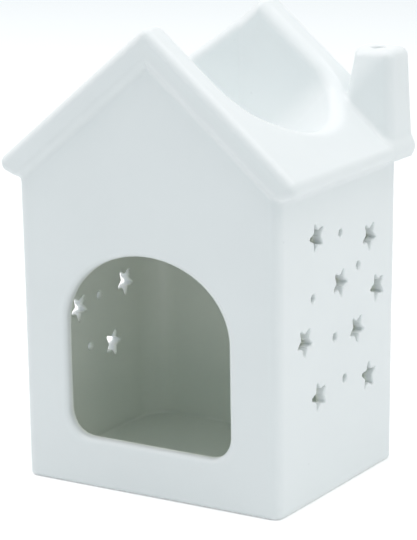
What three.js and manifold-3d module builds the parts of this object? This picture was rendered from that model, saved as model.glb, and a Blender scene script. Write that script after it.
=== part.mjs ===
// White ceramic oil burner in the shape of a small house.
// A tealight stands on the floor inside and warms the oil dish that is sunk into the roof.
// Millimetres, +Z up. The origin is in the middle of the underside, the doorway faces -Y.
import * as THREE from 'three';
import { mergeVertices } from 'three/addons/utils/BufferGeometryUtils.js';
import Module from 'manifold-3d';

const wasm = await Module();
wasm.setup();

// Clearance left at every joint between two castings.
const seatGap = 0.3;

// Body: four walls cast as one shell that widens a little towards the roof.
const bodyWidth = 94;
const bodyDepth = 75;
const bodyDraft = 0.007;
const bodyCorner = 3.4;
const wall = 4;
const insideCorner = 9;
const footRound = 1;

// Floor that the tealight stands on. Its thinner edge is let into a rebate under the walls.
const floorThickness = 3.4;
const floorRebate = 2;
const floorStep = 0.9;

// Doorway with an arched head and round lower corners.
const doorWidth = 59.5;
const doorAcross = -0.65;
const doorSill = 16.2;
const doorSpring = 53.3;
const doorRise = 24.2;
const doorCorner = 8;
const doorSoftening = 1.8;
const doorInnerSoftening = 0.4;

// Pierced patterns of the side walls, each seen square from outside. They were cut by hand, so they differ a little.
const starTip = 4.6;
const starWaist = 2.1;
const holeDiameter = 2.4;
const rightStars = [
  { across: -14.7, up: 84.9, turn: 107 },
  { across: 19.7, up: 78.4, turn: 127 },
  { across: 0.6, up: 67.3, turn: 136 },
  { across: 25.3, up: 60.5, turn: 111 },
  { across: 11.9, up: 49.8, turn: 128 },
  { across: -21.6, up: 53.3, turn: 125 },
  { across: 20.2, up: 32.2, turn: 92 },
  { across: -12.2, up: 33.6, turn: 108 },
];
const rightHoles = [
  { across: 0.3, up: 83.3 },
  { across: 12.2, up: 70.5 },
  { across: -16.8, up: 66.1 },
  { across: -2.5, up: 50.5 },
  { across: 4.1, up: 35.5 },
];
const leftStars = [
  { across: -13.4, up: 85.0, turn: 107 },
  { across: 19.0, up: 78.9, turn: 127 },
  { across: 1.6, up: 68.2, turn: 136 },
  { across: 24.2, up: 61.2, turn: 111 },
  { across: 10.9, up: 50.0, turn: 128 },
  { across: -16.7, up: 52.9, turn: 125 },
  { across: 20.4, up: 32.8, turn: 92 },
  { across: -8.7, up: 33.6, turn: 108 },
];
const leftHoles = [
  { across: 1.0, up: 83.4 },
  { across: 12.4, up: 71.0 },
  { across: -14.6, up: 66.9 },
  { across: -0.9, up: 51.7 },
  { across: 5.0, up: 35.6 },
];

// Roof: a gabled slab with round edges, standing out past the gables. Its ridge lies a little to the right of
// the middle, its left half is a little thicker than its right, and its right eave lies higher.
const eaveHeight = 105;
const roofPitch = THREE.MathUtils.degToRad(39.8);
const ridgeAcross = 1.55;
const roofThicknessLeft = 9.6;
const roofThicknessRight = 8.6;
const eaveOverhang = 4.71;
const eaveFootLeft = 99.2;
const eaveFootRight = 101.2;
const eaveUnderside = THREE.MathUtils.degToRad(20);
const gableOverhang = 2.2;
const ridgeRound = 2.9;
const eaveRound = 2.5;
const bargeRound = 2.4;

// Oil dish sunk into the roof: an oval bowl with steep sides, cut flat by the inner faces of the two gables.
const dishReach = 40.8;
const dishOval = 0.734;
const dishFlare = 0.43;
const dishFromFace = 9.5;
const dishCrease = 3;
const dishWall = 4.5;
const dishDepth = 12.6;
const dishFloorLength = 46;
const dishFloorWidth = 32;
const dishRimRound = 3;

// Chimney on the right rear corner of the roof, hollow, with a round smoke hole.
const chimneyWidth = 17;
const chimneyDepth = 16;
const chimneyFromEave = 0.2;
const chimneyFromRear = 1.2;
const chimneyOverEave = 31;
const chimneyTaper = 0.9;
const chimneyCorner = 3.4;
const chimneyTopRound = 2.2;
const chimneyWall = 3.6;
const chimneyCove = 1.3;
const smokeHole = 4;

// Sizes that follow from the ones above.
const pitchTan = Math.tan(roofPitch);
const pitchSin = Math.sin(roofPitch);
const pitchCos = Math.cos(roofPitch);
const halfWidthAt = (z) => bodyWidth / 2 + bodyDraft * z;
const halfDepthAt = (z) => bodyDepth / 2 + bodyDraft * z;
const roofRun = halfWidthAt(eaveHeight) + eaveOverhang;
const ridgeHeight = eaveHeight + (roofRun + ridgeAcross) * pitchTan;
const roofHalfLength = halfDepthAt(eaveHeight) + gableOverhang;
const roofDrop = roofThicknessRight / pitchCos;
const dishGable = bodyDepth / 2 - dishFromFace;
const dishRimLow = ridgeHeight - (ridgeAcross + dishReach) * pitchTan;
const dishBottom = dishRimLow - dishDepth;
const dishJoin = dishRimLow - 1.2 * dishRimRound;
const chimneyTop = eaveHeight + chimneyOverEave;
const tall = ridgeHeight + 20;

// Corners of the slab's lower side: where its two undersides meet, and where each meets the lower face of an eave.
// Side is 1 for the right and -1 for the left.
function slabFoot(side, thickness) {
  const underTan = Math.tan(eaveUnderside);
  const eaveFoot = side > 0 ? eaveFootRight : eaveFootLeft;
  const middle = ridgeHeight + side * ridgeAcross * pitchTan - thickness / pitchCos;
  const reach = (middle - eaveFoot + halfWidthAt(eaveHeight) * underTan) / (pitchTan + underTan);
  return { x: side * reach, z: middle - reach * pitchTan };
}

function slabPeak() {
  const x = ridgeAcross + (roofThicknessLeft - roofThicknessRight) / (2 * pitchSin);
  return { x, z: ridgeHeight - roofThicknessRight / pitchCos - (x - ridgeAcross) * pitchTan };
}

// Height of the roof's upper surface, with its round ridge.
function roofTop(x) {
  const reach = Math.abs(x - ridgeAcross);
  if (reach > ridgeRound * pitchSin) {
    return ridgeHeight - reach * pitchTan;
  }
  const centre = ridgeHeight - ridgeRound / pitchCos;
  return centre + Math.sqrt(ridgeRound * ridgeRound - reach * reach);
}

// Solids: a closed mesh with shared corners becomes a solid that can be joined and cut.
function solidOf(geometry) {
  const bare = geometry.index ? geometry.clone() : geometry;
  bare.deleteAttribute('normal');
  bare.deleteAttribute('uv');
  const merged = mergeVertices(bare, 1e-4);
  const vertProperties = new Float32Array(merged.attributes.position.array);
  const triVerts = new Uint32Array(merged.index.array);
  return new wasm.Manifold(new wasm.Mesh({ numProp: 3, vertProperties, triVerts }));
}

function geometryOf(solid) {
  const mesh = solid.getMesh();
  const geometry = new THREE.BufferGeometry();
  geometry.setAttribute('position', new THREE.BufferAttribute(new Float32Array(mesh.vertProperties), 3));
  geometry.setIndex(new THREE.BufferAttribute(new Uint32Array(mesh.triVerts), 1));
  geometry.computeVertexNormals();
  return geometry;
}

// Skins a stack of rings. Each ring runs counter-clockwise when seen from the end that the stack grows to.
function loft(rings, flatten) {
  const count = rings[0].length;
  const positions = [];
  for (const ring of rings) {
    for (const point of ring) {
      positions.push(point.x, point.y, point.z);
    }
  }
  const index = [];
  for (let row = 0; row + 1 < rings.length; row += 1) {
    for (let step = 0; step < count; step += 1) {
      const next = (step + 1) % count;
      const low = row * count;
      const high = low + count;
      index.push(low + step, low + next, high + next);
      index.push(low + step, high + next, high + step);
    }
  }
  const start = THREE.ShapeUtils.triangulateShape(rings[0].map(flatten), []);
  for (const [a, b, c] of start) {
    index.push(c, b, a);
  }
  const last = (rings.length - 1) * count;
  const end = THREE.ShapeUtils.triangulateShape(rings[rings.length - 1].map(flatten), []);
  for (const [a, b, c] of end) {
    index.push(last + a, last + b, last + c);
  }
  const geometry = new THREE.BufferGeometry();
  geometry.setAttribute('position', new THREE.Float32BufferAttribute(positions, 3));
  geometry.setIndex(index);
  return geometry;
}

const fromAbove = (point) => new THREE.Vector2(point.x, point.y);
const fromFront = (point) => new THREE.Vector2(point.x, point.z);
const fromRight = (point) => new THREE.Vector2(point.y, point.z);

// Rectangle with round corners, as plain 2-D points.
function roundedRectangle(halfX, halfY, radius, steps) {
  const points = [];
  const corners = [
    [halfX - radius, halfY - radius, 0],
    [radius - halfX, halfY - radius, 90],
    [radius - halfX, radius - halfY, 180],
    [halfX - radius, radius - halfY, 270],
  ];
  for (const [x, y, from] of corners) {
    for (let step = 0; step <= steps; step += 1) {
      const angle = THREE.MathUtils.degToRad(from + (90 * step) / steps);
      points.push(new THREE.Vector2(x + radius * Math.cos(angle), y + radius * Math.sin(angle)));
    }
  }
  return points;
}

// One level ring of the body, moved in from the outer face by inset.
function bodyRing(z, inset, radius, steps) {
  const outline = roundedRectangle(halfWidthAt(z) - inset, halfDepthAt(z) - inset, radius, steps);
  return outline.map((point) => new THREE.Vector3(point.x, point.y, z));
}

// A profile in X and Z, stretched along Y on both sides of the middle.
function alongDepth(points, halfLength, round) {
  const shape = new THREE.Shape(points.map(([x, z]) => new THREE.Vector2(x, z)));
  const geometry = new THREE.ExtrudeGeometry(shape, {
    depth: 2 * (halfLength - round),
    bevelEnabled: round > 0,
    bevelThickness: round,
    bevelSize: round,
    bevelOffset: -round,
    bevelSegments: 4,
    steps: 1,
  });
  geometry.translate(0, 0, round - halfLength);
  geometry.rotateX(Math.PI / 2);
  return geometry;
}

// Round arc in X and Z between two angles given in degrees.
function arc(centreX, centreZ, radius, from, to, steps) {
  const points = [];
  for (let step = 0; step <= steps; step += 1) {
    const angle = THREE.MathUtils.degToRad(from + ((to - from) * step) / steps);
    points.push([centreX + radius * Math.cos(angle), centreZ + radius * Math.sin(angle)]);
  }
  return points;
}

// Moves an outline outwards by a distance, along the mean direction of its two sides at each point.
function outset(outline, distance) {
  const count = outline.length;
  return outline.map((point, step) => {
    const before = outline[(step + count - 1) % count];
    const after = outline[(step + 1) % count];
    const along = after.clone().sub(before).normalize();
    return new THREE.Vector2(point.x + along.y * distance, point.y - along.x * distance);
  });
}

// Walls

function doorOutline() {
  const half = doorWidth / 2;
  const points = [];
  const corners = [
    [doorCorner - half, 180, 270],
    [half - doorCorner, 270, 360],
  ];
  for (const [x, from, to] of corners) {
    for (const [px, pz] of arc(x, doorSill + doorCorner, doorCorner, from, to, 8)) {
      points.push(new THREE.Vector2(doorAcross + px, pz));
    }
  }
  const steps = 28;
  for (let step = 0; step <= steps; step += 1) {
    const angle = (Math.PI * step) / steps;
    const across = doorAcross + half * Math.cos(angle);
    points.push(new THREE.Vector2(across, doorSpring + doorRise * Math.sin(angle)));
  }
  return points;
}

// The doorway's cutter widens at both faces of the wall, which softens the edges of the opening.
function doorCutter() {
  const outline = doorOutline();
  const inner = bodyDepth / 2 - wall;
  const outer = bodyDepth / 2;
  const stations = [
    [inner - 6, doorInnerSoftening],
    [inner, doorInnerSoftening],
    [inner + doorInnerSoftening, 0],
  ];
  const steps = 4;
  for (let step = steps; step >= 0; step -= 1) {
    const angle = (Math.PI / 2) * (step / steps);
    stations.push([outer - doorSoftening * (1 - Math.cos(angle)), doorSoftening * (1 - Math.sin(angle))]);
  }
  stations.push([outer + 6, doorSoftening]);
  const rings = stations.map(([distance, grow]) => outset(outline, grow).map(
    (point) => new THREE.Vector3(point.x, -(distance + bodyDraft * point.y), point.y),
  ));
  return loft(rings, fromFront);
}

function starOutline({ across, up, turn }) {
  const points = [];
  for (let step = 0; step < 10; step += 1) {
    const radius = step % 2 === 0 ? starTip : starWaist;
    const angle = THREE.MathUtils.degToRad(turn + 36 * step);
    points.push(new THREE.Vector2(across + radius * Math.cos(angle), up + radius * Math.sin(angle)));
  }
  return points;
}

function holeOutline({ across, up }) {
  const points = [];
  const steps = 14;
  for (let step = 0; step < steps; step += 1) {
    const angle = (2 * Math.PI * step) / steps;
    const radius = holeDiameter / 2;
    points.push(new THREE.Vector2(across + radius * Math.cos(angle), up + radius * Math.sin(angle)));
  }
  return points;
}

// A straight cutter through the right wall.
function sideCutter(outline) {
  const from = bodyWidth / 2 - wall - 3;
  const to = halfWidthAt(tall) + 3;
  const rings = [from, to].map((x) => outline.map((point) => new THREE.Vector3(x, point.x, point.y)));
  return loft(rings, fromRight);
}

function makeWalls() {
  const steps = 6;
  const foot = [
    [0, footRound],
    [footRound * 0.3, footRound * 0.3],
    [footRound, 0],
    [tall, 0],
  ];
  const outside = foot.map(([z, inset]) => bodyRing(z, inset, bodyCorner - inset, steps));
  let walls = solidOf(loft(outside, fromAbove));
  const inside = [-1, tall + 1].map((z) => bodyRing(z, wall, insideCorner, steps));
  walls = walls.subtract(solidOf(loft(inside, fromAbove)));
  const ledge = floorThickness - floorStep + seatGap;
  const rebate = [-1, ledge].map((z) => bodyRing(z, wall - floorRebate, insideCorner + floorRebate, steps));
  walls = walls.subtract(solidOf(loft(rebate, fromAbove)));
  // The walls end just below the slab's lower side.
  const wide = 2 * bodyWidth;
  const drop = seatGap / pitchCos;
  const leftFoot = slabFoot(-1, roofThicknessLeft);
  const rightFoot = slabFoot(1, roofThicknessRight);
  const peak = slabPeak();
  const gable = [
    [-wide, -bodyWidth],
    [wide, -bodyWidth],
    [wide, rightFoot.z + (wide - rightFoot.x) * Math.tan(eaveUnderside) - drop],
    [rightFoot.x, rightFoot.z - drop],
    [peak.x, peak.z - drop],
    [leftFoot.x, leftFoot.z - drop],
    [-wide, leftFoot.z + (wide + leftFoot.x) * Math.tan(eaveUnderside) - drop],
  ];
  walls = walls.intersect(solidOf(alongDepth(gable, bodyDepth, 0)));
  walls = walls.subtract(solidOf(doorCutter()));
  for (const outline of [...rightStars.map(starOutline), ...rightHoles.map(holeOutline)]) {
    walls = walls.subtract(solidOf(sideCutter(outline)));
  }
  for (const outline of [...leftStars.map(starOutline), ...leftHoles.map(holeOutline)]) {
    walls = walls.subtract(solidOf(sideCutter(outline).rotateZ(Math.PI)));
  }
  return geometryOf(walls);
}

// Floor

// A flat plate inside the walls, given how far its edge stands out past their inner faces.
function floorLayer(outward, from, to) {
  const inset = wall - outward + seatGap;
  const radius = insideCorner + outward - seatGap;
  const rings = [from, to].map((z) => {
    const outline = roundedRectangle(bodyWidth / 2 - inset, bodyDepth / 2 - inset, radius, 6);
    return outline.map((point) => new THREE.Vector3(point.x, point.y, z));
  });
  return solidOf(loft(rings, fromAbove));
}

function makeFloor() {
  const edge = floorLayer(floorRebate, 0, floorThickness - floorStep);
  const middle = floorLayer(0, 0.5 * floorThickness, floorThickness);
  return geometryOf(edge.add(middle));
}

// Roof

// Slab profile from the left eave over the ridge to the right eave and back along the underside.
function slabProfile() {
  const pitch = THREE.MathUtils.radToDeg(roofPitch);
  const under = THREE.MathUtils.radToDeg(eaveUnderside);
  const ridgeCentre = ridgeHeight - ridgeRound / pitchCos;
  // The eave's lower face rises outwards and meets the upper surface at the tip.
  const back = eaveRound / Math.sin((roofPitch + eaveUnderside) / 2);
  const lean = (roofPitch - eaveUnderside) / 2;
  const noseOf = (side) => {
    const tip = slabFoot(side, 0);
    return { x: tip.x - side * back * Math.cos(lean), z: tip.z + back * Math.sin(lean) };
  };
  const leftNose = noseOf(-1);
  const rightNose = noseOf(1);
  const leftFoot = slabFoot(-1, roofThicknessLeft);
  const rightFoot = slabFoot(1, roofThicknessRight);
  const peak = slabPeak();
  return [
    [leftFoot.x, leftFoot.z],
    [peak.x, peak.z],
    [rightFoot.x, rightFoot.z],
    ...arc(rightNose.x, rightNose.z, eaveRound, under - 90, 90 - pitch, 6),
    ...arc(ridgeAcross, ridgeCentre, ridgeRound, 90 - pitch, 90 + pitch, 6),
    ...arc(leftNose.x, leftNose.z, eaveRound, 90 + pitch, 270 - under, 6),
  ];
}

// Directions round the dish, closer together at its creases and where its rim crosses the ridge.
function dishAngles() {
  const quarter = [0, 7, 14, 21, 28, 35, 41, 46, 50, 53, 56, 59, 62, 66, 71, 76, 81, 85, 87.3, 88.7];
  const angles = [...quarter, 90, ...quarter.slice(1).reverse().map((angle) => 180 - angle)];
  return [...angles, ...angles.map((angle) => angle + 180)].map(THREE.MathUtils.degToRad);
}

const dishHalfLengthAt = (z) => dishReach + (z - dishRimLow) * dishFlare;
const dishHalfWidthAt = (z) => dishHalfLengthAt(z) * dishOval;

// A point of the dish's oval, held back by the gable with a soft crease where the two meet.
function ovalPoint(halfLength, halfWidth, limit, angle, z) {
  const reach = halfWidth * Math.abs(Math.sin(angle));
  const near = Math.max(dishCrease - Math.abs(reach - limit), 0);
  const held = Math.min(reach, limit) - (near * near) / (4 * dishCrease);
  return new THREE.Vector3(halfLength * Math.cos(angle), Math.sign(Math.sin(angle)) * held, z);
}

// The point where the dish's side meets the roof's upper surface, found by halving the interval.
function rimPoint(angle) {
  let low = dishRimLow - 5;
  let high = ridgeHeight + 5;
  for (let step = 0; step < 40; step += 1) {
    const z = (low + high) / 2;
    if (roofTop(dishHalfLengthAt(z) * Math.cos(angle)) > z) {
      low = z;
    } else {
      high = z;
    }
  }
  return ovalPoint(dishHalfLengthAt(low), dishHalfWidthAt(low), dishGable, angle, low);
}

// One ring of the rounded rim. At turn 0 it lies on the roof and at turn 90 on the dish's side.
function rimRing(angles, turn) {
  const away = dishRimRound * (1 - Math.sin(turn));
  const down = dishRimRound * (1 - Math.cos(turn));
  const rim = angles.map(rimPoint);
  const count = rim.length;
  return rim.map((point, step) => {
    const before = rim[(step + count - 1) % count];
    const after = rim[(step + 1) % count];
    const plan = new THREE.Vector2(after.y - before.y, before.x - after.x).normalize();
    const small = 0.01;
    const slope = (roofTop(point.x + small) - roofTop(point.x - small)) / (2 * small);
    const outwards = new THREE.Vector3(plan.x, plan.y, slope * plan.x).normalize();
    const lower = point.z - 1;
    const below = ovalPoint(dishHalfLengthAt(lower), dishHalfWidthAt(lower), dishGable, angles[step], lower);
    const inwards = below.sub(point).normalize();
    return point.clone().addScaledVector(outwards, away).addScaledVector(inwards, down);
  });
}

// One level oval ring of the bowl below the join: rise 0 is the flat floor and rise 1 the join.
function bowlRing(angles, rise, grow) {
  const floorLength = dishFloorLength / 2 + 0.5 * grow;
  const floorWidth = dishFloorWidth / 2 + 0.5 * grow;
  const joinLength = dishHalfLengthAt(dishJoin) + grow;
  const joinWidth = dishHalfWidthAt(dishJoin) + grow;
  const share = Math.sqrt(1 - (1 - rise) * (1 - rise));
  const halfLength = floorLength + (joinLength - floorLength) * share;
  const halfWidth = floorWidth + (joinWidth - floorWidth) * share;
  const bottom = dishBottom - grow;
  const z = bottom + (dishJoin - bottom) * rise;
  return angles.map((angle) => ovalPoint(halfLength, halfWidth, dishGable + grow, angle, z));
}

const bowlRises = [0, 0.02, 0.08, 0.18, 0.34, 0.56, 0.78, 1];

function dishHollow() {
  const angles = dishAngles();
  const rings = bowlRises.map((rise) => bowlRing(angles, rise, 0));
  for (const turn of [90, 72, 54, 36, 18]) {
    rings.push(rimRing(angles, THREE.MathUtils.degToRad(turn)));
  }
  const rim = rings[rings.length - 1];
  rings.push(rim.map((point) => new THREE.Vector3(point.x, point.y, ridgeHeight + dishDepth)));
  return loft(rings, fromAbove);
}

function dishShell() {
  const angles = dishAngles();
  const rings = bowlRises.map((rise) => bowlRing(angles, rise, dishWall));
  const halfLength = dishHalfLengthAt(ridgeHeight) + dishWall;
  const halfWidth = dishHalfWidthAt(ridgeHeight) + dishWall;
  const limit = dishGable + dishWall;
  rings.push(angles.map((angle) => ovalPoint(halfLength, halfWidth, limit, angle, ridgeHeight)));
  return loft(rings, fromAbove);
}

function makeRoofSlab() {
  return solidOf(alongDepth(slabProfile(), roofHalfLength, bargeRound));
}

function makeRoof(slab) {
  // The dish's shell is trimmed inside the thickness of the slab.
  const sunk = 0.4 * roofDrop;
  const wide = halfWidthAt(eaveHeight);
  const trim = [
    [-wide, dishBottom - 2 * dishWall],
    [wide, dishBottom - 2 * dishWall],
    [wide, ridgeHeight - sunk - (wide - ridgeAcross) * pitchTan],
    [ridgeAcross, ridgeHeight - sunk],
    [-wide, ridgeHeight - sunk - (wide + ridgeAcross) * pitchTan],
  ];
  const shell = solidOf(dishShell()).intersect(solidOf(alongDepth(trim, roofHalfLength, 0)));
  return geometryOf(slab.add(shell).subtract(solidOf(dishHollow())));
}

// Chimney

// One ring of the chimney, grown outwards from its plan, at a height given for each point.
// Towards the eave and the rear edge of the roof it grows less, because it stands almost flush with them.
function chimneyRing(grow, heightOf, radius) {
  const outer = grow > 0 ? 0.25 * grow : grow;
  const halfX = chimneyWidth / 2 + (grow + outer) / 2;
  const halfY = chimneyDepth / 2 + (grow + outer) / 2;
  const centreX = roofRun - chimneyFromEave - chimneyWidth / 2 - (grow - outer) / 2;
  const centreY = roofHalfLength - chimneyFromRear - chimneyDepth / 2 - (grow - outer) / 2;
  return roundedRectangle(halfX, halfY, radius, 6).map((point) => {
    const x = centreX + point.x;
    return new THREE.Vector3(x, centreY + point.y, heightOf(x));
  });
}

function makeChimney(slab) {
  const slopeAt = (x) => ridgeHeight - (x - ridgeAcross) * pitchTan;
  // The cove at the foot, as heights above the slope and widths, both as shares of its radius.
  const cove = [
    [-0.8, 0.8],
    [0.1, 0.8],
    [0.35, 0.5],
    [0.8, 0.22],
    [1.7, 0],
  ];
  const rings = cove.map(([height, share]) => {
    const grow = chimneyCove * share;
    return chimneyRing(grow, (x) => slopeAt(x) + chimneyCove * height, chimneyCorner + grow);
  });
  const steps = 4;
  for (let step = 0; step <= steps; step += 1) {
    const angle = (Math.PI / 2) * (step / steps);
    const inset = chimneyTaper + chimneyTopRound * (1 - Math.cos(angle));
    const height = chimneyTop - chimneyTopRound * (1 - Math.sin(angle));
    rings.push(chimneyRing(-inset, () => height, Math.max(chimneyCorner - 0.6 * inset, 0.5)));
  }
  let chimney = solidOf(loft(rings, fromAbove));
  const flue = [
    chimneyRing(-chimneyWall, (x) => slopeAt(x) - roofDrop, 1),
    chimneyRing(-chimneyWall - 0.5 * chimneyTaper, () => chimneyTop - chimneyWall, 1),
  ];
  chimney = chimney.subtract(solidOf(loft(flue, fromAbove)));
  const hole = new THREE.CylinderGeometry(smokeHole / 2, smokeHole / 2, 4 * chimneyWall, 20);
  hole.rotateX(Math.PI / 2);
  const centreX = roofRun - chimneyFromEave - chimneyWidth / 2;
  const centreY = roofHalfLength - chimneyFromRear - chimneyDepth / 2;
  hole.translate(centreX, centreY, chimneyTop);
  chimney = chimney.subtract(solidOf(hole));
  // The foot follows the roof that it stands on.
  return geometryOf(chimney.subtract(slab.translate([0, 0, seatGap / pitchCos])));
}

// Assembly

const glazeOutside = new THREE.MeshStandardMaterial({ color: 0xf0f3f3, roughness: 0.3, metalness: 0 });
const glazeInside = new THREE.MeshStandardMaterial({ color: 0xd9dfd3, roughness: 0.35, metalness: 0 });

function piece(name, geometry, material) {
  const mesh = new THREE.Mesh(geometry, material);
  mesh.name = name;
  return mesh;
}

const slab = makeRoofSlab();
const group = new THREE.Group();
group.name = 'house_oil_burner';
group.add(piece('wall_shell', makeWalls(), glazeOutside));
group.add(piece('floor_plate', makeFloor(), glazeInside));
group.add(piece('roof_dish', makeRoof(slab), glazeOutside));
group.add(piece('chimney', makeChimney(slab), glazeOutside));

export default group;
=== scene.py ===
import math

import bmesh
import bpy
import numpy as np
from mathutils import Matrix, Vector


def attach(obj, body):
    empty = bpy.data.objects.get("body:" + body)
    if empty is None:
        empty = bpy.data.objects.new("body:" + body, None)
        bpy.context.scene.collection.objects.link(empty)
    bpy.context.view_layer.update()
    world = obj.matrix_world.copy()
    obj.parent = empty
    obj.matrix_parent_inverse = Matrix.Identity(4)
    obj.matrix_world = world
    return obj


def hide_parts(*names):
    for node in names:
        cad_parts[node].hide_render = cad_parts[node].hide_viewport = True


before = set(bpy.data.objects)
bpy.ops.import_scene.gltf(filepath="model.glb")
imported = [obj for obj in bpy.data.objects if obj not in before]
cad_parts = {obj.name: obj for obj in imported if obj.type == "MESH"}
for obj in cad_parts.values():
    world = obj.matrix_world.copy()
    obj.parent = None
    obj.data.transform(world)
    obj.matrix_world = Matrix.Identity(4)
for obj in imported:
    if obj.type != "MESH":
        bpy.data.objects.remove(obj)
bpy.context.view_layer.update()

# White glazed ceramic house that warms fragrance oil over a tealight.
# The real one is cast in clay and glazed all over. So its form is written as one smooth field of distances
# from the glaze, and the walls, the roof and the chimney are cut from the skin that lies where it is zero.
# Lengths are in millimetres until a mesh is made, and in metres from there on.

# Walls
BODY_WIDTH = 94.0
BODY_DEPTH = 75.0
BODY_DRAFT = 0.007
BODY_CORNER = 3.4
WALL = 4.0
INSIDE_CORNER = 9.0
CHAMBER_TOP_CORNER = 3.0
FOOT_ROUND = 1.2

# Floor
FLOOR_THICKNESS = 3.4
FLOOR_STEP = 0.9
FLOOR_REBATE = 2.0
FLOOR_COVE = 0.8
SEAT_GAP = 0.3

# Doorway
DOOR_HALF = 29.75
DOOR_ACROSS = -0.65
DOOR_SILL = 16.2
DOOR_SPRING = 53.3
DOOR_RISE = 24.2
DOOR_CORNER = 8.0
DOOR_SOFT = 1.8
DOOR_ENDS = 20.0
INNER_EDGE = 0.4

# Pierced pattern: distance across the wall, height and turn of each star, seen square from outside
STAR_TIP = 4.6
STAR_WAIST = 2.1
STAR_SOFT = 0.35
HOLE_RADIUS = 1.15
PIERCED_SOFT = 0.6
RIGHT_STARS = (
    (-14.7, 84.9, 107), (19.7, 78.4, 127), (0.6, 67.3, 136), (25.3, 60.5, 111),
    (11.9, 49.8, 128), (-21.6, 53.3, 125), (20.2, 32.2, 92), (-12.2, 33.6, 108),
)
RIGHT_HOLES = ((0.3, 83.3), (12.2, 70.5), (-16.8, 66.1), (-2.5, 50.5), (4.1, 35.5))
LEFT_STARS = (
    (-13.4, 85.0, 107), (19.0, 78.9, 127), (1.6, 68.2, 136), (24.2, 61.2, 111),
    (10.9, 50.0, 128), (-16.7, 52.9, 125), (20.4, 32.8, 92), (-8.7, 33.6, 108),
)
LEFT_HOLES = ((1.0, 83.4), (12.4, 71.0), (-14.6, 66.9), (-0.9, 51.7), (5.0, 35.6))

# Roof: its ridge lies a little to the right of the middle, and its right eave lies higher than its left
EAVE_HEIGHT = 105.0
PITCH = math.radians(39.8)
ROOF_THICKNESS_LEFT = 8.8
ROOF_THICKNESS_RIGHT = 8.6
RIDGE_ACROSS = 1.55
EAVE_OVERHANG = 4.71
EAVE_FOOT_LEFT = 98.4
EAVE_FOOT_RIGHT = 100.3
EAVE_UNDER = math.radians(20)
GABLE_OVERHANG = 2.2
RIDGE_ROUND = 2.9
EAVE_ROUND = 3.2
BARGE_TOP_ROUND = 3.2
BARGE_LOW_ROUND = 2.0
GABLE_FILLET = 2.1
EAVE_FILLET = 3.3
EAVE_FILLET_ENDS = 34.0
EAVE_FILLET_FADE = 6.0

# Oil dish: two flanks that slope down to its floor and bow out between the gables
DISH_REACH = 39.7
DISH_BOW = 22.5
DISH_FLARE = 0.97
DISH_GABLE = 28.2
DISH_NARROWING = 0.5
DISH_NARROWS_FROM = 6.0
DISH_CREASE = 3.0
DISH_WALL = 4.5
DISH_UNDER_SOFT = 2.0
DISH_DEPTH = 13.5
DISH_BOWL = 8.0
DISH_RIM = 5.2

# Chimney
CHIMNEY_HALF_X = 8.8
CHIMNEY_HALF_Y = 8.0
CHIMNEY_FROM_EAVE = -0.4
CHIMNEY_FROM_REAR = 1.2
CHIMNEY_TOP = 137.0
CHIMNEY_TAPER = 0.9
CHIMNEY_CORNER = 3.4
CHIMNEY_TOP_ROUND = 2.8
CHIMNEY_COVE = 1.5
CHIMNEY_TAPER_BELOW = 0.3
SMOKE_HOLE = 2.0
SMOKE_HOLE_DEPTH = 16.0
SMOKE_HOLE_SOFT = 0.8

# Slow waves in the surface: how far they reach, and how many of them it lies back
WAVE_REACH = 0.05
WAVES_BACK = 2.4

# Levels and lines that follow from these
SLOPE_SIN = math.sin(PITCH)
SLOPE_COS = math.cos(PITCH)
SLOPE_TAN = math.tan(PITCH)
UNDER_SIN = math.sin(EAVE_UNDER)
UNDER_COS = math.cos(EAVE_UNDER)
EAVE_HALF = BODY_WIDTH / 2 + BODY_DRAFT * EAVE_HEIGHT
ROOF_RUN = EAVE_HALF + EAVE_OVERHANG
RIDGE = EAVE_HEIGHT + (ROOF_RUN + RIDGE_ACROSS) * SLOPE_TAN
ROOF_HALF_LENGTH = BODY_DEPTH / 2 + BODY_DRAFT * EAVE_HEIGHT + GABLE_OVERHANG
UNDER_PEAK_X = RIDGE_ACROSS + (ROOF_THICKNESS_LEFT - ROOF_THICKNESS_RIGHT) / (2 * SLOPE_SIN)
DISH_RIM_LOW = RIDGE - (RIDGE_ACROSS + DISH_REACH) * SLOPE_TAN
DISH_BOTTOM = DISH_RIM_LOW - DISH_DEPTH
CHIMNEY_X = ROOF_RUN - CHIMNEY_FROM_EAVE - CHIMNEY_HALF_X
CHIMNEY_Y = ROOF_HALF_LENGTH - CHIMNEY_FROM_REAR - CHIMNEY_HALF_Y


def eave_nose(side, foot):
    """Reach and height of the centre of an eave's round nose. Side is 1 for the right and -1 for the left."""
    under_tan = UNDER_SIN / UNDER_COS
    middle = RIDGE + side * RIDGE_ACROSS * SLOPE_TAN
    reach = (middle - foot + EAVE_HALF * under_tan) / (SLOPE_TAN + under_tan)
    back = EAVE_ROUND / math.sin((PITCH + EAVE_UNDER) / 2)
    lean = (PITCH - EAVE_UNDER) / 2
    return reach - back * math.cos(lean), middle - reach * SLOPE_TAN + back * math.sin(lean)


RIGHT_NOSE = eave_nose(1, EAVE_FOOT_RIGHT)
LEFT_NOSE = eave_nose(-1, EAVE_FOOT_LEFT)


# Fields: each gives distances in millimetres, below zero inside

def soft_cut(first, second, radius):
    """What two bodies share, with the edge between them rounded over."""
    corner = np.hypot(np.maximum(radius + first, 0), np.maximum(radius + second, 0))
    return np.minimum(np.maximum(first, second), -radius) + corner


def soft_join(first, second, radius):
    """Two bodies run together, with the inner corner between them filled by glaze."""
    corner = np.hypot(np.maximum(radius - first, 0), np.maximum(radius - second, 0))
    return np.maximum(np.minimum(first, second), radius) - corner


def round_block(x, y, half_x, half_y, corner):
    """Upright block with round corners, seen from above."""
    out_x = np.abs(x) - half_x + corner
    out_y = np.abs(y) - half_y + corner
    within = np.minimum(np.maximum(out_x, out_y), 0)
    beyond = np.hypot(np.maximum(out_x, 0), np.maximum(out_y, 0))
    return within + beyond - corner


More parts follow.
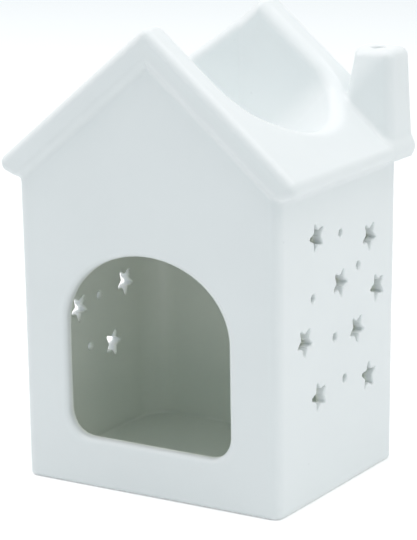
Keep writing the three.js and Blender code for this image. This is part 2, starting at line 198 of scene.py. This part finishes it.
def oval(across, up, half_across, half_up):
    """Ellipse, with distances that hold near its edge."""
    tiny = 1e-6
    share = np.sqrt((across / half_across) ** 2 + (up / half_up) ** 2 + tiny)
    lean_across = across / half_across ** 2
    lean_up = up / half_up ** 2
    steep = np.sqrt(lean_across ** 2 + lean_up ** 2 + tiny / (half_across * half_up))
    return (share - 1) * share / steep


def body_block(x, y, z, inset, corner):
    """The four walls as a solid block with its slight draft, moved in by inset."""
    half_x = BODY_WIDTH / 2 + BODY_DRAFT * z - inset
    half_y = BODY_DEPTH / 2 + BODY_DRAFT * z - inset
    return round_block(x, y, half_x, half_y, corner)


def roof_wedge(x, z):
    """Gabled roof seen from the front: round ridge, two slopes and a round nose at each eave."""
    away = np.abs(x - RIDGE_ACROSS)
    right = x > RIDGE_ACROSS
    out = np.where(right, x - RIGHT_NOSE[0], -x - LEFT_NOSE[0])
    rise = z - np.where(right, RIGHT_NOSE[1], LEFT_NOSE[1])
    top = away * SLOPE_SIN + (z - RIDGE) * SLOPE_COS
    under = out * UNDER_SIN - rise * UNDER_COS - EAVE_ROUND
    wedge = np.maximum(top, under)
    nose = np.hypot(out, rise) - EAVE_ROUND
    past_top = out * SLOPE_COS - rise * SLOPE_SIN > 0
    past_under = out * UNDER_COS + rise * UNDER_SIN > 0
    wedge = np.where(past_top & past_under, nose, wedge)
    crown_z = RIDGE - RIDGE_ROUND / SLOPE_COS
    crown = np.hypot(away, z - crown_z) - RIDGE_ROUND
    return np.where(away < (z - crown_z) * SLOPE_TAN, crown, wedge)


def doorway(x, y, z):
    """Arched opening through the front wall."""
    across = x - DOOR_ACROSS
    head = oval(across, z - DOOR_SPRING, DOOR_HALF, DOOR_RISE)
    foot = soft_cut(np.abs(across) - DOOR_HALF, DOOR_SILL - z, DOOR_CORNER)
    opening = np.where(z > DOOR_SPRING, head, foot)
    return np.maximum(opening, y + DOOR_ENDS)


def star(across, up, turn):
    """Five-pointed star with slightly blunt tips, from the distance to one side of one point."""
    tip = STAR_TIP - 1.5 * STAR_SOFT
    waist = STAR_WAIST - STAR_SOFT
    half_point = math.pi / 5
    angle = np.arctan2(up, across) - math.radians(turn)
    fold = np.abs((angle + half_point) % (2 * half_point) - half_point)
    radius = np.hypot(across, up)
    side_x = waist * math.cos(half_point) - tip
    side_y = waist * math.sin(half_point)
    from_x = radius * np.cos(fold) - tip
    from_y = radius * np.sin(fold)
    along = np.clip((from_x * side_x + from_y * side_y) / (side_x ** 2 + side_y ** 2), 0, 1)
    away = np.hypot(from_x - along * side_x, from_y - along * side_y)
    inside = side_x * from_y - side_y * from_x > 0
    return np.where(inside, -away, away) - STAR_SOFT


def piercing(x, y, z):
    """Stars and small holes through both side walls."""
    window = 8.0
    behind_wall = 5.0
    field = np.full(np.shape(x), window)
    for side, stars, holes in ((1, RIGHT_STARS, RIGHT_HOLES), (-1, LEFT_STARS, LEFT_HOLES)):
        in_wall = side * x > BODY_WIDTH / 2 - WALL - behind_wall
        across = side * y
        for place, height, turn in stars:
            near = in_wall & (np.abs(across - place) < window) & (np.abs(z - height) < window)
            field[near] = np.minimum(field[near], star(across[near] - place, z[near] - height, turn))
        for place, height in holes:
            near = in_wall & (np.abs(across - place) < window) & (np.abs(z - height) < window)
            round_hole = np.hypot(across[near] - place, z[near] - height) - HOLE_RADIUS
            field[near] = np.minimum(field[near], round_hole)
    return field


def oil_dish(x, y, z):
    """Hollow of the dish: two bowed flanks, held back by the two gables, over a round bottom."""
    bow = y / DISH_GABLE
    reach = DISH_REACH + (z - DISH_RIM_LOW) * DISH_FLARE - DISH_BOW * bow * bow
    steep = np.sqrt(1 + DISH_FLARE ** 2 + (2 * DISH_BOW * bow / DISH_GABLE) ** 2)
    flank = (np.abs(x) - reach) / steep
    gable = np.abs(y) - DISH_GABLE + DISH_NARROWING * np.maximum(-DISH_NARROWS_FROM - x, 0)
    dish = soft_cut(flank, gable, DISH_CREASE)
    return soft_cut(dish, DISH_BOTTOM - z, DISH_BOWL)


def chimney_block(x, y, z):
    """Tapered chimney with round corners and a round top."""
    foot_z = RIDGE - (CHIMNEY_X - RIDGE_ACROSS) * SLOPE_TAN
    share_up = (z - foot_z) / (CHIMNEY_TOP - foot_z)
    taper = CHIMNEY_TAPER * np.clip(share_up, -CHIMNEY_TAPER_BELOW, 1)
    block = round_block(
        x - CHIMNEY_X, y - CHIMNEY_Y, CHIMNEY_HALF_X - taper, CHIMNEY_HALF_Y - taper, CHIMNEY_CORNER,
    )
    return soft_cut(block, z - CHIMNEY_TOP, CHIMNEY_TOP_ROUND)


def unevenness(x, y, z):
    """Slow waves that a slip-cast and hand-fettled surface keeps, inwards only."""
    waves = np.sin(x / 13 + 0.6) * np.sin(z / 11 + 1.1) + np.sin(y / 10 - 0.4) * np.sin(z / 17 + x / 23)
    waves = waves + 0.4 * np.sin(x / 5.3 + y / 6.1) * np.sin(z / 6.7 + 0.5)
    return WAVE_REACH * (WAVES_BACK + waves)


def casting(x, y, z):
    """The whole glazed house without its floor."""
    over_right = (z - RIDGE) * SLOPE_COS + (x - RIDGE_ACROSS) * SLOPE_SIN
    over_left = (z - RIDGE) * SLOPE_COS - (x - RIDGE_ACROSS) * SLOPE_SIN
    slope = np.maximum(over_right, over_left)
    under = np.maximum(over_right + ROOF_THICKNESS_RIGHT, over_left + ROOF_THICKNESS_LEFT)
    walls = soft_cut(body_block(x, y, z, 0, BODY_CORNER), -z, FOOT_ROUND)
    walls = np.maximum(walls, slope + 0.5 * ROOF_THICKNESS_RIGHT)
    slab = soft_cut(roof_wedge(x, z), np.abs(y) - ROOF_HALF_LENGTH, BARGE_TOP_ROUND)
    slab = soft_cut(slab, -under, BARGE_LOW_ROUND)
    middle = np.clip((EAVE_FILLET_ENDS - np.abs(y)) / EAVE_FILLET_FADE, 0, 1)
    fillet = GABLE_FILLET + (EAVE_FILLET - GABLE_FILLET) * middle * middle * (3 - 2 * middle)
    house = soft_join(walls, slab, fillet)
    stack = np.maximum(chimney_block(x, y, z), -slope - 0.5 * ROOF_THICKNESS_RIGHT)
    house = soft_join(house, stack, CHIMNEY_COVE)
    house = soft_cut(house, -doorway(x, y, z), DOOR_SOFT)
    dish = oil_dish(x, y, z)
    chamber = soft_cut(body_block(x, y, z, WALL, INSIDE_CORNER), under, CHAMBER_TOP_CORNER)
    chamber = soft_cut(chamber, DISH_WALL - dish, DISH_UNDER_SOFT)
    rebate_top = FLOOR_THICKNESS - FLOOR_STEP + SEAT_GAP
    rebate = body_block(x, y, z, WALL - FLOOR_REBATE, INSIDE_CORNER + FLOOR_REBATE)
    chamber = np.minimum(chamber, np.maximum(rebate, z - rebate_top))
    house = soft_cut(house, -chamber, INNER_EDGE)
    house = soft_cut(house, -dish, DISH_RIM)
    house = soft_cut(house, -piercing(x, y, z), PIERCED_SOFT)
    smoke = np.hypot(x - CHIMNEY_X, y - CHIMNEY_Y) - SMOKE_HOLE
    smoke = np.maximum(smoke, CHIMNEY_TOP - SMOKE_HOLE_DEPTH - z)
    house = soft_cut(house, -smoke, SMOKE_HOLE_SOFT)
    return house + unevenness(x, y, z)


def steepest(points):
    """Direction in which the field grows at each point, with its size."""
    small = 0.04
    slopes = np.empty_like(points)
    for axis in range(3):
        step = np.zeros(3)
        step[axis] = small
        ahead = casting(*(points + step).T)
        behind = casting(*(points - step).T)
        slopes[:, axis] = (ahead - behind) / (2 * small)
    return slopes


def settle(points, passes, longest):
    """Moves points along the field's slope until they lie on the glaze."""
    flattest = 0.05
    for _ in range(passes):
        slopes = steepest(points)
        size = np.maximum((slopes ** 2).sum(axis=1), flattest)
        move = -(casting(*points.T) / size)[:, None] * slopes
        length = np.linalg.norm(move, axis=1)
        move *= np.minimum(1, longest / np.maximum(length, 1e-9))[:, None]
        points = points + move
    return points


def surface_net(pitch):
    """Points and four-sided faces along the zero of the field."""
    past_eaves = 1.5
    margin = 3.2 * pitch
    layers = 8
    low = np.array([-ROOF_RUN - past_eaves, -ROOF_HALF_LENGTH, 0]) - margin
    high = np.array([ROOF_RUN + past_eaves, ROOF_HALF_LENGTH, RIDGE]) + margin
    counts = np.ceil((high - low) / pitch).astype(int) + 1
    axes = [low[axis] + pitch * np.arange(counts[axis]) for axis in range(3)]
    values = np.empty(counts)
    for layer in range(0, counts[2], layers):
        heights = axes[2][layer:layer + layers]
        x, y, z = np.meshgrid(axes[0], axes[1], heights, indexing="ij")
        values[:, :, layer:layer + layers] = casting(x, y, z)
    inside = values < 0
    cell_rows, cross_rows, quads = [], [], []
    strides = np.array([counts[1] * counts[2], counts[2], 1])
    for axis in range(3):
        second, third = (axis + 1) % 3, (axis + 2) % 3
        unit = np.eye(3, dtype=int)
        here = [slice(None)] * 3
        there = [slice(None)] * 3
        here[axis] = slice(0, -1)
        there[axis] = slice(1, None)
        starts = np.argwhere(inside[tuple(here)] != inside[tuple(there)])
        ends = starts + unit[axis]
        first_value = values[tuple(starts.T)]
        last_value = values[tuple(ends.T)]
        share = first_value / (first_value - last_value)
        crossing = starts + share[:, None] * unit[axis]
        around = [starts, starts - unit[second], starts - unit[second] - unit[third], starts - unit[third]]
        corners = np.stack([cells @ strides for cells in around], axis=1)
        turned = first_value > 0
        corners[turned] = corners[turned][:, ::-1]
        quads.append(corners)
        for column in range(4):
            cell_rows.append(corners[:, column])
            cross_rows.append(crossing)
    cells = np.concatenate(cell_rows)
    crossings = np.concatenate(cross_rows)
    used, index = np.unique(cells, return_inverse=True)
    counts_at = np.bincount(index)
    points = np.stack([np.bincount(index, crossings[:, axis]) / counts_at for axis in range(3)], axis=1)
    faces = np.searchsorted(used, np.concatenate(quads))
    return low + points * pitch, faces


def mesh_of(name, points, faces):
    """Blender mesh in metres from points in millimetres."""
    mesh = bpy.data.meshes.new(name)
    mesh.from_pydata((points * 0.001).tolist(), [], [tuple(face) for face in faces.tolist()])
    mesh.validate()
    mesh.update()
    return mesh


def points_of(mesh):
    """A mesh's points in millimetres."""
    flat = np.empty(len(mesh.vertices) * 3)
    mesh.vertices.foreach_get("co", flat)
    return flat.reshape(-1, 3) * 1000


def thinned(mesh, share):
    """Fewer faces where the glaze is flat."""
    block = bpy.data.objects.new("raw_casting", mesh)
    bpy.context.scene.collection.objects.link(block)
    fewer = block.modifiers.new("fewer", "DECIMATE")
    fewer.ratio = share
    bpy.context.view_layer.update()
    result = bpy.data.meshes.new_from_object(block.evaluated_get(bpy.context.evaluated_depsgraph_get()))
    bpy.data.objects.remove(block)
    return result


def put_on_glaze(mesh):
    """Settles a mesh's points on the field again."""
    points = settle(points_of(mesh), 2, 0.3)
    mesh.vertices.foreach_set("co", (points * 0.001).ravel())
    mesh.update()


def smooth_shading(mesh):
    """Normals straight from the field, so that every soft edge shades as the glaze does."""
    slopes = steepest(points_of(mesh))
    slopes /= np.linalg.norm(slopes, axis=1)[:, None]
    mesh.polygons.foreach_set("use_smooth", np.ones(len(mesh.polygons), dtype=bool))
    mesh.normals_split_custom_set_from_vertices(slopes.tolist())


# Joints: the three castings meet on planes, each a point and the direction towards the upper piece
JOINT_BELOW_SLAB = 0.6
CHIMNEY_JOINT = 0.45
DISH_SHELL_REACH = 0.9
CHIMNEY_SIDE = 0.03
ON_PLANE = 1e-8
RIGHT_SLOPE = Vector((SLOPE_SIN, 0, SLOPE_COS))
LEFT_SLOPE = Vector((-SLOPE_SIN, 0, SLOPE_COS))
RIDGE_POINT = Vector((RIDGE_ACROSS, 0, RIDGE)) * 0.001


def over_plane(centre, normal, level):
    """Whether a point, in metres, lies over a plane at a level above the slopes' meeting line."""
    return (centre - RIDGE_POINT).dot(normal) > level * 0.001


def cut_along(skin, faces, normal, level):
    """Adds the edges where a plane crosses some faces."""
    near = set(faces)
    for face in faces:
        near.update(face.edges)
        near.update(face.verts)
    place = RIDGE_POINT + normal * level * 0.001
    bmesh.ops.bisect_plane(skin, geom=list(near), plane_co=place, plane_no=normal, dist=ON_PLANE)


def split_castings(mesh):
    """Cuts the one skin into walls, roof and chimney, and gives a mesh for each."""
    skin = bmesh.new()
    skin.from_mesh(mesh)
    peak = UNDER_PEAK_X * 0.001
    everything = skin.verts[:] + skin.edges[:] + skin.faces[:]
    bmesh.ops.bisect_plane(skin, geom=everything, plane_co=(peak, 0, 0), plane_no=(1, 0, 0), dist=ON_PLANE)
    right_level = -ROOF_THICKNESS_RIGHT - JOINT_BELOW_SLAB
    left_level = -ROOF_THICKNESS_LEFT - JOINT_BELOW_SLAB
    for normal, level, side in ((RIGHT_SLOPE, right_level, 1), (LEFT_SLOPE, left_level, -1)):
        half = [face for face in skin.faces if side * (face.calc_center_median().x - peak) > 0]
        cut_along(skin, half, normal, level)
    near_stack = [face for face in skin.faces if face.calc_center_median().x > CHIMNEY_SIDE]
    cut_along(skin, near_stack, RIGHT_SLOPE, CHIMNEY_JOINT)
    centres = np.array([face.calc_center_median()[:] for face in skin.faces]) * 1000
    on_dish = oil_dish(*centres.T) < DISH_WALL + DISH_SHELL_REACH
    names = []
    for row, face in enumerate(skin.faces):
        centre = Vector(centres[row]) * 0.001
        if centre.x > peak:
            in_roof = over_plane(centre, RIGHT_SLOPE, right_level)
        else:
            in_roof = over_plane(centre, LEFT_SLOPE, left_level)
        if centre.x > CHIMNEY_SIDE and over_plane(centre, RIGHT_SLOPE, CHIMNEY_JOINT):
            names.append("chimney")
        elif on_dish[row] or in_roof:
            names.append("roof_dish")
        else:
            names.append("wall_shell")
    points = np.array([vert.co[:] for vert in skin.verts]) * 1000
    skin.verts.index_update()
    corners = [[vert.index for vert in face.verts] for face in skin.faces]
    skin.free()
    made = {}
    for name in ("wall_shell", "roof_dish", "chimney"):
        chosen = [corner for corner, piece in zip(corners, names) if piece == name]
        used = sorted({index for corner in chosen for index in corner})
        place = {index: row for row, index in enumerate(used)}
        piece = bpy.data.meshes.new(name + "_glazed")
        piece.from_pydata(
            (points[used] * 0.001).tolist(), [], [[place[index] for index in corner] for corner in chosen],
        )
        piece.update()
        made[name] = piece
    return made


# Floor

def floor_ring(inset, corner, height):
    """One level ring inside the walls."""
    steps = 10
    half_x = BODY_WIDTH / 2 - inset
    half_y = BODY_DEPTH / 2 - inset
    ring = []
    for number, (sign_x, sign_y) in enumerate(((1, 1), (-1, 1), (-1, -1), (1, -1))):
        for step in range(steps + 1):
            angle = math.pi / 2 * (number + step / steps)
            ring.append((
                sign_x * (half_x - corner) + corner * math.cos(angle),
                sign_y * (half_y - corner) + corner * math.sin(angle),
                height,
            ))
    return ring


def floor_mesh():
    """Stepped floor plate whose top runs up against the walls in a small cove of glaze."""
    rings = []
    edge_inset = WALL - FLOOR_REBATE + SEAT_GAP
    edge_corner = INSIDE_CORNER + FLOOR_REBATE - SEAT_GAP
    edge_top = FLOOR_THICKNESS - FLOOR_STEP
    for inset, height in ((1.0, 0.0), (0.3, 0.3), (0.0, 1.0), (0.0, edge_top)):
        rings.append(floor_ring(edge_inset + inset, edge_corner - inset, height))
    clear = 0.04
    middle_inset = WALL + clear
    rings.append(floor_ring(middle_inset, INSIDE_CORNER - clear, edge_top))
    steps = 8
    for step in range(steps + 1):
        angle = math.pi / 2 * step / steps
        away = FLOOR_COVE * (1 - math.cos(angle))
        height = FLOOR_THICKNESS + FLOOR_COVE * (1 - math.sin(angle))
        rings.append(floor_ring(middle_inset + away, max(INSIDE_CORNER - clear - away, 1), height))
    for inset in (9.0, 14.0, 20.0, 27.0):
        rings.append(floor_ring(middle_inset + inset, max(INSIDE_CORNER - inset, 2.5), FLOOR_THICKNESS))
    plate = bmesh.new()
    rows = [[plate.verts.new(Vector(point) * 0.001) for point in ring] for ring in rings]
    count = len(rows[0])
    for low, high in zip(rows, rows[1:]):
        for step in range(count):
            after = (step + 1) % count
            plate.faces.new((low[step], low[after], high[after], high[step]))
    plate.faces.new(rows[-1])
    plate.faces.new(rows[0][::-1])
    bmesh.ops.remove_doubles(plate, verts=plate.verts[:], dist=1e-7)
    for face in plate.faces:
        face.smooth = True
    mesh = bpy.data.meshes.new("floor_plate_glazed")
    plate.to_mesh(mesh)
    plate.free()
    mesh.set_sharp_from_angle(angle=math.radians(50))
    return mesh


# Glazes: sizes of the noises are in features per metre

CLOUD_SCALE = 34
WAVE_SCALE = 95
GRAIN_SCALE = 1400
SPOT_SCALE = 60
PINHOLE_EDGE = 0.018
PINHOLE_REACH = 0.03
PINHOLE_SHADE = 0.06
PINHOLE_DEPTH = 0.08
GRAIN_DEPTH = 0.05
GLAZE_IOR = 1.5
GLAZE_TONE = 0.05
GLAZE_BUMP = 0.05
GLAZE_BUMP_HEIGHT = 0.0008
# The roughness stays over 0.28, below which a renderer's noise filter draws edges round the glossy places.
SMOOTHEST = 0.29
ROUGHNESS_SPREAD = 0.12


def linear(red, green, blue):
    """A colour as seen on screen, 0 to 255, as Blender's linear values."""
    shares = [value / 255 for value in (red, green, blue)]
    return [share / 12.92 if share <= 0.04045 else ((share + 0.055) / 1.055) ** 2.4 for share in shares] + [1]


def glaze_group():
    """Glaze that pooled and thinned a little: tone, tiny waves and a few pinholes over the surface."""
    group = bpy.data.node_groups.new("pooled_glaze", "ShaderNodeTree")
    group.interface.new_socket("Depth of tone", in_out="INPUT", socket_type="NodeSocketFloat")
    group.interface.new_socket("Pinholes", in_out="INPUT", socket_type="NodeSocketFloat")
    group.interface.new_socket("Shade", in_out="OUTPUT", socket_type="NodeSocketFloat")
    group.interface.new_socket("Roughness", in_out="OUTPUT", socket_type="NodeSocketFloat")
    group.interface.new_socket("Height", in_out="OUTPUT", socket_type="NodeSocketFloat")
    nodes, links = group.nodes, group.links
    enter = nodes.new("NodeGroupInput")
    leave = nodes.new("NodeGroupOutput")
    place = nodes.new("ShaderNodeTexCoord")
    cloud = nodes.new("ShaderNodeTexNoise")
    cloud.inputs["Scale"].default_value = CLOUD_SCALE
    cloud.inputs["Detail"].default_value = 3
    links.new(place.outputs["Object"], cloud.inputs["Vector"])
    wave = nodes.new("ShaderNodeTexNoise")
    wave.inputs["Scale"].default_value = WAVE_SCALE
    wave.inputs["Detail"].default_value = 2
    links.new(place.outputs["Object"], wave.inputs["Vector"])
    grain = nodes.new("ShaderNodeTexNoise")
    grain.inputs["Scale"].default_value = GRAIN_SCALE
    grain.inputs["Detail"].default_value = 2
    links.new(place.outputs["Object"], grain.inputs["Vector"])
    spots = nodes.new("ShaderNodeTexVoronoi")
    spots.inputs["Scale"].default_value = SPOT_SCALE
    links.new(place.outputs["Object"], spots.inputs["Vector"])
    pinhole = nodes.new("ShaderNodeMapRange")
    pinhole.inputs["From Min"].default_value = PINHOLE_EDGE
    pinhole.inputs["From Max"].default_value = PINHOLE_REACH
    pinhole.inputs["To Min"].default_value = 1
    pinhole.inputs["To Max"].default_value = 0
    links.new(spots.outputs["Distance"], pinhole.inputs["Value"])

    def math_node(kind, first, second):
        node = nodes.new("ShaderNodeMath")
        node.operation = kind
        for socket, value in zip(node.inputs, (first, second)):
            if isinstance(value, (int, float)):
                socket.default_value = value
            else:
                links.new(value, socket)
        return node.outputs[0]

    tone = math_node("SUBTRACT", cloud.outputs["Fac"], 0.5)
    tone = math_node("MULTIPLY", tone, enter.outputs["Depth of tone"])
    holes = math_node("MULTIPLY", pinhole.outputs["Result"], enter.outputs["Pinholes"])
    shade = math_node("ADD", tone, 1.0)
    shade = math_node("SUBTRACT", shade, math_node("MULTIPLY", holes, PINHOLE_SHADE))
    links.new(shade, leave.inputs["Shade"])
    rough = math_node("MULTIPLY", cloud.outputs["Fac"], ROUGHNESS_SPREAD)
    links.new(math_node("ADD", rough, SMOOTHEST), leave.inputs["Roughness"])
    height = math_node("ADD", wave.outputs["Fac"], math_node("MULTIPLY", grain.outputs["Fac"], GRAIN_DEPTH))
    height = math_node("SUBTRACT", height, math_node("MULTIPLY", holes, PINHOLE_DEPTH))
    links.new(height, leave.inputs["Height"])
    return group


# Where the outside colour ends and the inside colour begins, as shares of the wall. The inside colour is a
# faint green tint made lighter than the outside white as painted light.
INSIDE_STARTS = 0.4
INSIDE_FULL = 0.9


def inside_mask(tree):
    """How far a point of the walls lies inside the house, 0 outside and 1 on the inner faces, which take the
    inside colour and its painted light.
    """
    nodes, links = tree.nodes, tree.links
    place = nodes.new("ShaderNodeTexCoord")
    split = nodes.new("ShaderNodeSeparateXYZ")
    links.new(place.outputs["Object"], split.inputs[0])
    shares = []
    for output, face in (("X", BODY_WIDTH / 2), ("Y", BODY_DEPTH / 2)):
        size = nodes.new("ShaderNodeMath")
        size.operation = "ABSOLUTE"
        links.new(split.outputs[output], size.inputs[0])
        share = nodes.new("ShaderNodeMapRange")
        share.interpolation_type = "SMOOTHSTEP"
        share.inputs["From Min"].default_value = (face - INSIDE_STARTS * WALL) * 0.001
        share.inputs["From Max"].default_value = (face - INSIDE_FULL * WALL) * 0.001
        links.new(size.outputs[0], share.inputs["Value"])
        shares.append(share.outputs["Result"])
    both = nodes.new("ShaderNodeMath")
    both.operation = "MINIMUM"
    links.new(shares[0], both.inputs[0])
    links.new(shares[1], both.inputs[1])
    return both.outputs[0]


POOLED = glaze_group()


def glaze(name, outside, inside=None):
    """Glossy glaze over clay. With an inside colour, the inner faces of the walls take that."""
    material = bpy.data.materials.new(name)
    material.use_nodes = True
    tree = material.node_tree
    shader = tree.nodes["Principled BSDF"]
    pooled = tree.nodes.new("ShaderNodeGroup")
    pooled.node_tree = POOLED
    pooled.inputs["Depth of tone"].default_value = GLAZE_TONE
    pooled.inputs["Pinholes"].default_value = 1.0
    shaded = tree.nodes.new("ShaderNodeMix")
    shaded.data_type = "RGBA"
    shaded.blend_type = "MULTIPLY"
    shaded.inputs["Factor"].default_value = 1
    shaded.inputs[6].default_value = outside
    tree.links.new(pooled.outputs["Shade"], shaded.inputs[7])
    if inside:
        colour = tree.nodes.new("ShaderNodeMix")
        colour.data_type = "RGBA"
        colour.inputs[6].default_value = outside
        colour.inputs[7].default_value = inside
        tree.links.new(inside_mask(tree), colour.inputs["Factor"])
        tree.links.new(colour.outputs[2], shaded.inputs[6])
    tree.links.new(shaded.outputs[2], shader.inputs["Base Color"])
    tree.links.new(pooled.outputs["Roughness"], shader.inputs["Roughness"])
    bump = tree.nodes.new("ShaderNodeBump")
    bump.inputs["Strength"].default_value = GLAZE_BUMP
    bump.inputs["Distance"].default_value = GLAZE_BUMP_HEIGHT
    tree.links.new(pooled.outputs["Height"], bump.inputs["Height"])
    tree.links.new(bump.outputs["Normal"], shader.inputs["Normal"])
    shader.inputs["IOR"].default_value = GLAZE_IOR
    return material


WHITE = linear(245, 249, 249)
# Inside colour: a faint green tint, made lighter than the outside white as painted light that stands in for
# bounced light the chamber lacks.
INSIDE_TINT_AND_PAINTED_LIGHT = linear(250, 254, 245)


def place_piece(name, mesh, material):
    """A glazed piece in the place of its solid."""
    mesh.materials.clear()
    mesh.materials.append(material)
    piece = bpy.data.objects.new(name + "_glazed", mesh)
    bpy.context.scene.collection.objects.link(piece)
    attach(piece, "root")
    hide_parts(name)
    return piece


# Spacing of the net of points over the glaze, and the share of faces kept
NET_PITCH = 0.7
KEPT_FACES = 0.4


def make_house():
    """The three castings and the floor, each in place of its solid."""
    pitch = NET_PITCH
    points, faces = surface_net(pitch)
    points = settle(points, 3, 0.5 * pitch)
    skin = mesh_of("casting_skin", points, faces)
    skin = thinned(skin, KEPT_FACES)
    put_on_glaze(skin)
    castings = split_castings(skin)
    for mesh in castings.values():
        smooth_shading(mesh)
    white = glaze("white_glaze", WHITE)
    # The inner faces of the walls and the whole floor take the inside colour, which is made lighter as
    # painted light.
    walls = glaze("white_glaze_with_green_inside", WHITE, INSIDE_TINT_AND_PAINTED_LIGHT)
    green = glaze("inside_glaze", INSIDE_TINT_AND_PAINTED_LIGHT)
    place_piece("wall_shell", castings["wall_shell"], walls)
    place_piece("roof_dish", castings["roof_dish"], white)
    place_piece("chimney", castings["chimney"], white)
    place_piece("floor_plate", floor_mesh(), green)


# Studio

CAMERA_AZIMUTH = math.radians(31.52)
CAMERA_ELEVATION = math.radians(14.049)
CAMERA_ROLL = math.radians(-0.563)
CAMERA_PLACE = (0.42638, -0.69616, 0.27001)
PHOTO_HEIGHT = 540
FOCAL_PIXELS = 2625.4


# Soft boxes: name, place in metres, watts and tint
SOFT_BOX_SIZE = 1.4
SOFT_BOXES = (
    ("soft_box_over", (0.1, 0.04, 1.2), 6.05, (1, 0.94, 0.96)),
    ("soft_box_right", (0.85, 0, 0.9), 4.1, (1, 0.887, 0.846)),
    ("soft_box_left", (-0.8, -0.2, 0.9), 5.95, (1, 0.877, 0.867)),
)


# Table and air: the table's white, how much that is lifted for the eye, and the light from all round
TABLE_HALF = 4
TABLE_WHITE = (0.93, 0.93, 0.93, 1)
TABLE_LIFT = 0.3
AIR_LIGHT = (0.345, 0.42, 0.44, 1)
LAMP_AIM = Vector((0, 0, 0.08))


def make_camera():
    """Camera where the photograph was taken from."""
    level = math.cos(CAMERA_ELEVATION)
    back = Vector((
        math.sin(CAMERA_AZIMUTH) * level, -math.cos(CAMERA_AZIMUTH) * level, math.sin(CAMERA_ELEVATION),
    ))
    right = Vector((math.cos(CAMERA_AZIMUTH), math.sin(CAMERA_AZIMUTH), 0))
    up = back.cross(right)
    rolled_right = right * math.cos(CAMERA_ROLL) + up * math.sin(CAMERA_ROLL)
    rolled_up = up * math.cos(CAMERA_ROLL) - right * math.sin(CAMERA_ROLL)
    data = bpy.data.cameras.new("camera")
    data.sensor_width = 36
    data.lens = 36 * FOCAL_PIXELS / PHOTO_HEIGHT
    camera = bpy.data.objects.new("camera", data)
    bpy.context.scene.collection.objects.link(camera)
    turn = Matrix((rolled_right, rolled_up, back)).transposed().to_4x4()
    camera.matrix_world = Matrix.Translation(CAMERA_PLACE) @ turn
    bpy.context.scene.camera = camera


def seen_directly(tree):
    """1 for what the camera sees, straight or in a reflection or through glass."""
    rays = tree.nodes.new("ShaderNodeLightPath")
    first = tree.nodes.new("ShaderNodeMath")
    first.operation = "MAXIMUM"
    tree.links.new(rays.outputs["Is Camera Ray"], first.inputs[0])
    tree.links.new(rays.outputs["Is Glossy Ray"], first.inputs[1])
    second = tree.nodes.new("ShaderNodeMath")
    second.operation = "MAXIMUM"
    tree.links.new(first.outputs[0], second.inputs[0])
    tree.links.new(rays.outputs["Is Transmission Ray"], second.inputs[1])
    return second.outputs[0]


def make_studio():
    """White table, pale air and the soft boxes."""
    mesh = bpy.data.meshes.new("table_top")
    corners = [(x * TABLE_HALF, y * TABLE_HALF, 0) for x, y in ((-1, -1), (1, -1), (1, 1), (-1, 1))]
    mesh.from_pydata(corners, [], [(0, 1, 2, 3)])
    table = bpy.data.objects.new("table_top", mesh)
    bpy.context.scene.collection.objects.link(table)
    paper = bpy.data.materials.new("white_table")
    paper.use_nodes = True
    tree = paper.node_tree
    shader = tree.nodes["Principled BSDF"]
    shader.inputs["Base Color"].default_value = TABLE_WHITE
    shader.inputs["Roughness"].default_value = 0.9
    shader.inputs["Specular IOR Level"].default_value = 0
    shader.inputs["Emission Color"].default_value = (1, 1, 1, 1)
    lift = tree.nodes.new("ShaderNodeMath")
    lift.operation = "MULTIPLY"
    lift.inputs[1].default_value = TABLE_LIFT
    tree.links.new(seen_directly(tree), lift.inputs[0])
    tree.links.new(lift.outputs[0], shader.inputs["Emission Strength"])
    table.data.materials.append(paper)

    world = bpy.data.worlds.new("studio")
    bpy.context.scene.world = world
    world.use_nodes = True
    tree = world.node_tree
    sky = tree.nodes["Background"]
    colour = tree.nodes.new("ShaderNodeMix")
    colour.data_type = "RGBA"
    colour.inputs[6].default_value = AIR_LIGHT
    colour.inputs[7].default_value = (1, 1, 1, 1)
    tree.links.new(seen_directly(tree), colour.inputs["Factor"])
    tree.links.new(colour.outputs[2], sky.inputs["Color"])

    for name, place, watts, tint in SOFT_BOXES:
        box = bpy.data.lights.new(name, "AREA")
        box.energy = watts
        box.color = tint
        box.size = SOFT_BOX_SIZE
        lamp = bpy.data.objects.new(name, box)
        bpy.context.scene.collection.objects.link(lamp)
        lamp.location = place
        aim = Vector(place) - LAMP_AIM
        lamp.rotation_euler = aim.to_track_quat("Z", "Y").to_euler()


make_camera()
make_studio()
make_house()
bpy.context.scene.view_settings.view_transform = "Standard"
